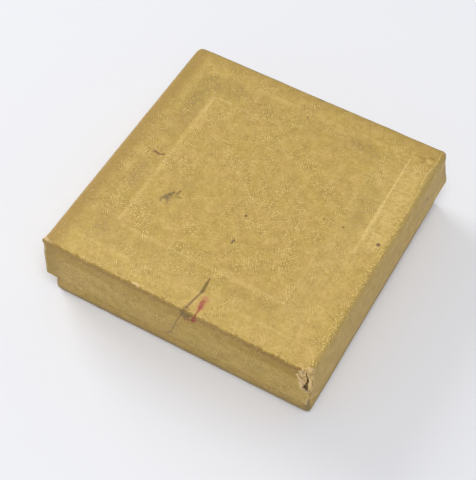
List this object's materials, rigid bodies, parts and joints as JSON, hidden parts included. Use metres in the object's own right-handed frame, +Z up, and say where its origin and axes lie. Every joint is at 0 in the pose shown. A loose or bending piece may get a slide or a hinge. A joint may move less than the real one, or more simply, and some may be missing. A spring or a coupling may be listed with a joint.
{
  "type": "coin presentation box",
  "caption": "Square gold paper-covered card box with a lift-off lid, a satin lid pad and a velvet insert with a round well for a coin.",
  "frame": {"origin": "on the surface that the box stands on, under the middle of the lid, which lies a little back and left on its base", "axes": "+Z up, the way the lid lifts; +X to the right along the front wall; the front wall faces -Y"},
  "size_m": [0.064, 0.064, 0.0176],
  "materials": {
    "gold_paper": "dull bronze-gold paper with a fine embossed grain, rubbed at the edges",
    "chipboard": "grey-brown pulp board",
    "stay_paper": "plain tan gummed paper",
    "bottom_paper": "plain cream paper, aged",
    "wadding": "cotton wadding",
    "satin": "cream satin",
    "velvet": "deep blue cotton velvet"
  },
  "bodies": {
    "base": {"base_cover_paper": "gold_paper", "base_board": "chipboard", "base_corner_stay_1": "stay_paper", "base_corner_stay_2": "stay_paper", "base_corner_stay_3": "stay_paper", "base_corner_stay_4": "stay_paper", "base_bottom_paper": "bottom_paper", "insert_platform": "chipboard", "coin_well_stool": "chipboard", "coin_well_ring": "chipboard", "insert_velvet": "velvet"},
    "lid": {"lid_cover_paper": "gold_paper", "lid_board": "chipboard", "lid_corner_stay_1": "stay_paper", "lid_corner_stay_2": "stay_paper", "lid_corner_stay_3": "stay_paper", "lid_corner_stay_4": "stay_paper", "lid_pad_card": "chipboard", "lid_pad_wadding": "wadding", "lid_pad_satin": "satin"}
  },
  "joints": [
    {"name": "lid_lift", "type": "slide", "parent": "base", "child": "lid", "axis": [0, 0, 1], "range_m": [0, 0.05]}
  ]
}
